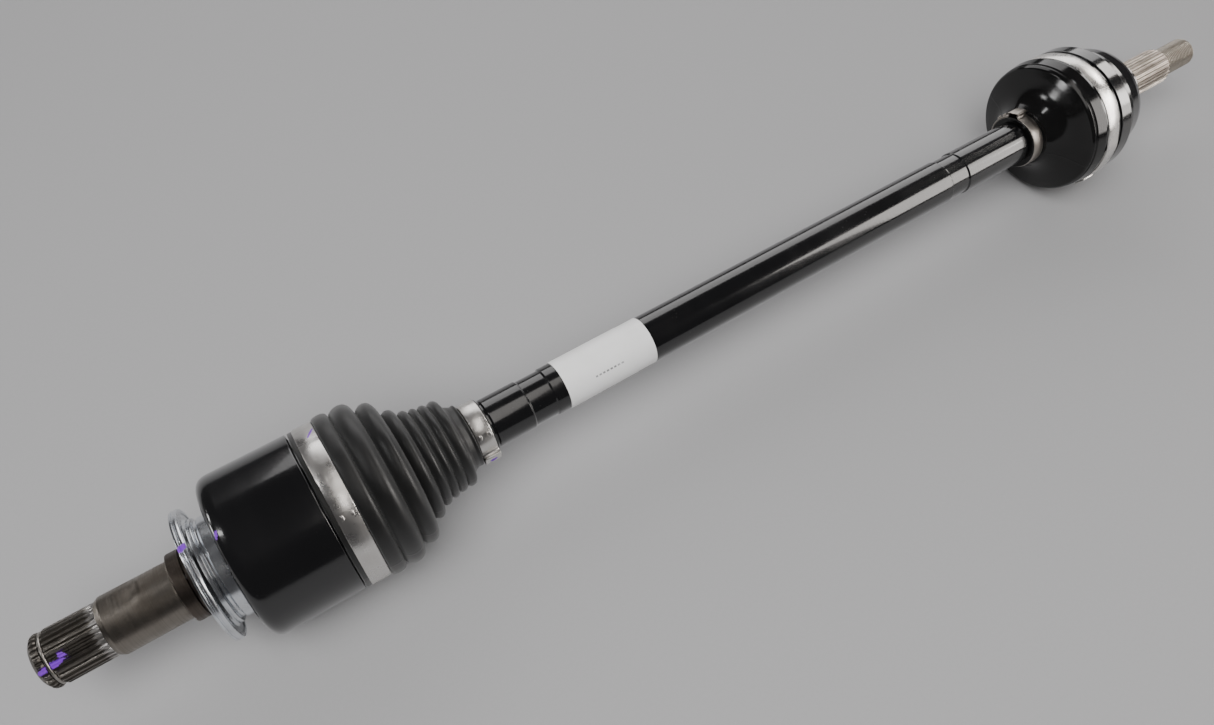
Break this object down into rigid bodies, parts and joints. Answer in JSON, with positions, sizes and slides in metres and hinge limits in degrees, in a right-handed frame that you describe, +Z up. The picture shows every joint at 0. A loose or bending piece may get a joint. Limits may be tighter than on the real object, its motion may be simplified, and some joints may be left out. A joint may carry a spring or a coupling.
{
  "type": "car constant-velocity axle",
  "caption": "Car CV axle: plunging tripod joint and fixed ball joint with rubber boots, steel band clamps, splined stubs and a solid black bar between them.",
  "frame": {"origin": "on the bar's axis, half way along the overall length", "axes": "+X along the bar from the inner (gearbox) end to the outer (wheel) end, +Z up, +Y across"},
  "size_m": [0.81, 0.091, 0.091],
  "materials": {
    "gloss_black_paint": "gloss",
    "zinc_plate": "satin",
    "clamp_steel": "satin",
    "spring_steel": "satin",
    "machined_steel": "machined",
    "bearing_steel": "polished",
    "boot_rubber": "matte",
    "boot_thermoplastic": "semi-gloss",
    "label_paper": "matte"
  },
  "bodies": {
    "inner_housing": {"inner_housing": "gloss_black_paint", "dust_shield": "zinc_plate", "inner_stub_circlip": "spring_steel", "inner_large_clamp": "clamp_steel"},
    "inner_boot": {"inner_boot": "boot_rubber"},
    "trunnion_bearing": {"needle_bearing_1": "bearing_steel"},
    "roller_1": {"roller_1": "bearing_steel"},
    "shaft": {"shaft_bar": "gloss_black_paint", "label": "label_paper", "spider": "machined_steel", "spider_ring": "spring_steel", "needle_bearing_2": "bearing_steel", "needle_bearing_3": "bearing_steel", "roller_retainer_1": "spring_steel", "roller_retainer_2": "spring_steel", "roller_retainer_3": "spring_steel", "inner_small_clamp": "clamp_steel", "outer_small_clamp": "clamp_steel", "inner_race": "machined_steel", "race_circlip": "spring_steel"},
    "roller_2": {"roller_2": "bearing_steel"},
    "roller_3": {"roller_3": "bearing_steel"},
    "ball_1": {"ball_1": "bearing_steel"},
    "cage": {"cage": "machined_steel", "ball_2": "bearing_steel", "ball_3": "bearing_steel", "ball_4": "bearing_steel", "ball_5": "bearing_steel", "ball_6": "bearing_steel"},
    "outer_boot": {"outer_boot": "boot_thermoplastic"},
    "outer_bell": {"outer_bell": "gloss_black_paint", "outer_large_clamp": "clamp_steel"}
  },
  "joints": [
    {"name": "inner_plunge", "type": "slide", "parent": "inner_housing", "child": "inner_boot", "axis": [1, 0, 0], "range_m": [-0.012, 0.012], "deforming": ["inner_boot"]},
    {"name": "inner_up_down", "type": "hinge", "parent": "inner_boot", "child": "trunnion_bearing", "pos_m": [-0.2716, 0, 0], "axis": [0, 1, 0], "range_deg": [-15, 15]},
    {"name": "inner_fore_aft", "type": "hinge", "parent": "trunnion_bearing", "child": "shaft", "pos_m": [-0.2716, 0, 0], "axis": [0, 0, 1], "range_deg": [-8, 8]},
    {"name": "roller_1_roll", "type": "hinge", "parent": "trunnion_bearing", "child": "roller_1", "pos_m": [-0.2716, 0, 0], "axis": [0, 0, 1], "range_deg": [-45, 45]},
    {"name": "roller_2_roll", "type": "hinge", "parent": "shaft", "child": "roller_2", "pos_m": [-0.2716, 0, 0], "axis": [0, -0.866, -0.5], "range_deg": [-45, 45]},
    {"name": "roller_3_roll", "type": "hinge", "parent": "shaft", "child": "roller_3", "pos_m": [-0.2716, 0, 0], "axis": [0, 0.866, -0.5], "range_deg": [-45, 45]},
    {"name": "outer_up_down", "type": "hinge", "parent": "shaft", "child": "outer_boot", "pos_m": [0.289, 0, 0], "axis": [0, 1, 0], "range_deg": [-8, 8], "deforming": ["outer_boot"]},
    {"name": "outer_steer", "type": "hinge", "parent": "outer_boot", "child": "outer_bell", "pos_m": [0.289, 0, 0], "axis": [0, 0, 1], "range_deg": [-40, 40]},
    {"name": "ball_tilt", "type": "hinge", "parent": "shaft", "child": "ball_1", "pos_m": [0.289, 0, 0], "axis": [0, 1, 0], "range_deg": [-4.2, 4.2]},
    {"name": "cage_turn", "type": "hinge", "parent": "ball_1", "child": "cage", "pos_m": [0.289, 0, 0], "axis": [0, 0, 1], "range_deg": [-20.2, 20.2]}
  ],
  "couplings": [
    {"joint": "roller_1_roll", "follows": "inner_plunge", "rad_per_m": 58.82},
    {"joint": "roller_2_roll", "follows": "inner_plunge", "rad_per_m": 58.82},
    {"joint": "roller_3_roll", "follows": "inner_plunge", "rad_per_m": 58.82},
    {"joint": "ball_tilt", "follows": "outer_up_down", "ratio": 0.5},
    {"joint": "cage_turn", "follows": "outer_steer", "ratio": 0.5}
  ]
}
